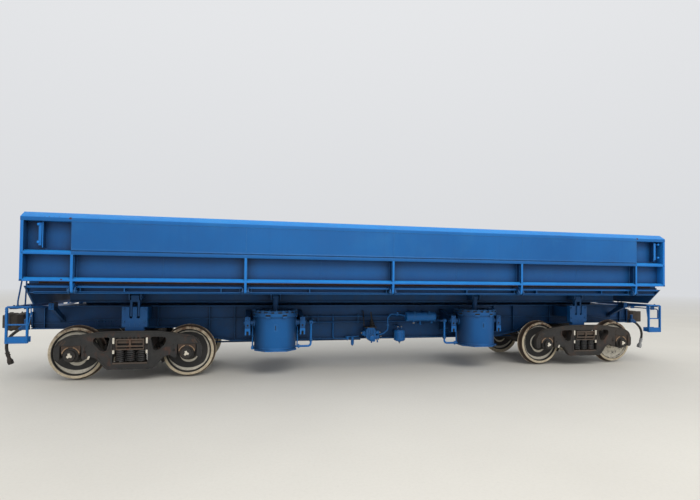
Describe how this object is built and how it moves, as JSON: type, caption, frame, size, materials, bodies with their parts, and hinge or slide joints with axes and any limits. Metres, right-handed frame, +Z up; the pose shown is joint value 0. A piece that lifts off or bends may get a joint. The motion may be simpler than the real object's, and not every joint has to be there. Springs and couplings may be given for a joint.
{
  "type": "side dump wagon",
  "caption": "Railway side dump wagon: a low tipping body with drop-down side doors on a bogie underframe, raised to either side by swinging telescopic air cylinders.",
  "frame": {"origin": "on the plane of the wheel flanges' lowest points, midway between the couplers and between the two side doors", "axes": "+X along the wagon, +Z up, -Y the side seen in the picture"},
  "size_m": [13.18, 3.2, 2.6578],
  "materials": {
    "body_blue": "semi-gloss",
    "cast_dark": "matt",
    "spring_steel": "matt",
    "wheel_steel": "worn",
    "rod_steel": "polished",
    "coupler_cast": "matt",
    "hose_rubber": "matt",
    "floor_wear": "worn"
  },
  "bodies": {
    "underframe": {"centre_sill": "body_blue", "underframe_bolsters": "body_blue", "pivot_brackets": "body_blue", "cylinder_hangers": "body_blue", "end_platform_frames": "body_blue", "corner_steps": "body_blue", "body_rests": "body_blue", "couplers": "coupler_cast", "air_reservoir": "body_blue", "brake_valves": "body_blue", "air_pipes": "body_blue", "angle_cocks": "body_blue", "uncoupling_rods": "body_blue", "main_reservoir": "body_blue", "brake_cylinder": "body_blue", "brake_rods": "body_blue", "brake_hose_a": "hose_rubber", "brake_hose_b": "hose_rubber", "hose_coupling_a": "coupler_cast", "hose_coupling_b": "coupler_cast"},
    "near_saddle": {"near_saddle_blocks": "body_blue"},
    "tipping_body": {"floor_plate": "floor_wear", "side_sills": "body_blue", "main_beams": "body_blue", "cross_beams": "body_blue", "end_walls": "body_blue", "pivot_lugs": "body_blue", "door_hinge_lugs": "body_blue"},
    "far_saddle": {"far_saddle_blocks": "body_blue"},
    "near_door": {"near_door_panel": "body_blue", "near_door_frame": "body_blue"},
    "far_door": {"far_door_panel": "body_blue", "far_door_frame": "body_blue"},
    "near_barrels": {"near_cylinder_barrels": "body_blue"},
    "near_sleeves": {"near_cylinder_sleeves": "rod_steel"},
    "near_rods": {"near_cylinder_rods": "rod_steel"},
    "far_barrels": {"far_cylinder_barrels": "body_blue"},
    "far_sleeves": {"far_cylinder_sleeves": "rod_steel"},
    "far_rods": {"far_cylinder_rods": "rod_steel"},
    "bogie_a": {"bogie_a_side_frames": "cast_dark", "bogie_a_bolster": "cast_dark", "bogie_a_springs": "spring_steel", "bogie_a_bearings": "cast_dark", "bogie_a_brake_beams": "cast_dark"},
    "bogie_b": {"bogie_b_side_frames": "cast_dark", "bogie_b_bolster": "cast_dark", "bogie_b_springs": "spring_steel", "bogie_b_bearings": "cast_dark", "bogie_b_brake_beams": "cast_dark"},
    "wheelset_1": {"wheels_1": "wheel_steel", "axle_1": "wheel_steel"},
    "wheelset_2": {"wheels_2": "wheel_steel", "axle_2": "wheel_steel"},
    "wheelset_3": {"wheels_3": "wheel_steel", "axle_3": "wheel_steel"},
    "wheelset_4": {"wheels_4": "wheel_steel", "axle_4": "wheel_steel"}
  },
  "joints": [
    {"name": "tilt_far", "type": "hinge", "parent": "underframe", "child": "near_saddle", "pos_m": [0, 0.8, 1.375], "axis": [1, 0, 0], "range_deg": [-45, 0]},
    {"name": "tilt_near", "type": "hinge", "parent": "near_saddle", "child": "tipping_body", "pos_m": [0, -0.8, 1.375], "axis": [1, 0, 0], "range_deg": [0, 45]},
    {"name": "far_saddle_turn", "type": "hinge", "parent": "tipping_body", "child": "far_saddle", "pos_m": [0, 0.8, 1.375], "axis": [1, 0, 0], "range_deg": [0, 45]},
    {"name": "near_door_hinge", "type": "hinge", "parent": "tipping_body", "child": "near_door", "pos_m": [0, -1.55, 1.49], "axis": [1, 0, 0], "range_deg": [0, 90]},
    {"name": "far_door_hinge", "type": "hinge", "parent": "tipping_body", "child": "far_door", "pos_m": [0, 1.55, 1.49], "axis": [1, 0, 0], "range_deg": [-90, 0]},
    {"name": "near_cylinder_swing", "type": "hinge", "parent": "underframe", "child": "near_barrels", "pos_m": [0, -0.8, 0.918], "axis": [1, 0, 0], "range_deg": [-16.6, 0]},
    {"name": "near_sleeve_slide", "type": "slide", "parent": "near_barrels", "child": "near_sleeves", "axis": [0, 0, 1], "range_m": [0, 0.602]},
    {"name": "near_rod_slide", "type": "slide", "parent": "near_sleeves", "child": "near_rods", "axis": [0, 0, 1], "range_m": [0, 0.602]},
    {"name": "far_cylinder_swing", "type": "hinge", "parent": "underframe", "child": "far_barrels", "pos_m": [0, 0.8, 0.918], "axis": [1, 0, 0], "range_deg": [0, 16.6]},
    {"name": "far_sleeve_slide", "type": "slide", "parent": "far_barrels", "child": "far_sleeves", "axis": [0, 0, 1], "range_m": [0, 0.602]},
    {"name": "far_rod_slide", "type": "slide", "parent": "far_sleeves", "child": "far_rods", "axis": [0, 0, 1], "range_m": [0, 0.602]},
    {"name": "bogie_a_swivel", "type": "hinge", "parent": "underframe", "child": "bogie_a", "pos_m": [-4.3, 0, 0.728], "axis": [0, 0, 1], "range_deg": [-4, 4]},
    {"name": "bogie_b_swivel", "type": "hinge", "parent": "underframe", "child": "bogie_b", "pos_m": [4.3, 0, 0.728], "axis": [0, 0, 1], "range_deg": [-4, 4]},
    {"name": "wheelset_1_spin", "type": "hinge", "parent": "bogie_a", "child": "wheelset_1", "pos_m": [-5.175, 0, 0.448], "axis": [0, 1, 0], "continuous": true},
    {"name": "wheelset_2_spin", "type": "hinge", "parent": "bogie_a", "child": "wheelset_2", "pos_m": [-3.425, 0, 0.448], "axis": [0, 1, 0], "continuous": true},
    {"name": "wheelset_3_spin", "type": "hinge", "parent": "bogie_b", "child": "wheelset_3", "pos_m": [3.425, 0, 0.448], "axis": [0, 1, 0], "continuous": true},
    {"name": "wheelset_4_spin", "type": "hinge", "parent": "bogie_b", "child": "wheelset_4", "pos_m": [5.175, 0, 0.448], "axis": [0, 1, 0], "continuous": true}
  ],
  "couplings": [
    {"joint": "far_saddle_turn", "follows": "tilt_far", "ratio": -1},
    {"joint": "near_door_hinge", "follows": "tilt_near", "ratio": 2},
    {"joint": "far_door_hinge", "follows": "tilt_far", "ratio": 2},
    {"joint": "near_cylinder_swing", "follows": "tilt_far", "ratio": 0.36529},
    {"joint": "near_sleeve_slide", "follows": "tilt_far", "m_per_rad": -0.76335},
    {"joint": "near_rod_slide", "follows": "tilt_far", "m_per_rad": -0.76335},
    {"joint": "far_cylinder_swing", "follows": "tilt_near", "ratio": 0.36529},
    {"joint": "far_sleeve_slide", "follows": "tilt_near", "m_per_rad": 0.76335},
    {"joint": "far_rod_slide", "follows": "tilt_near", "m_per_rad": 0.76335}
  ]
}
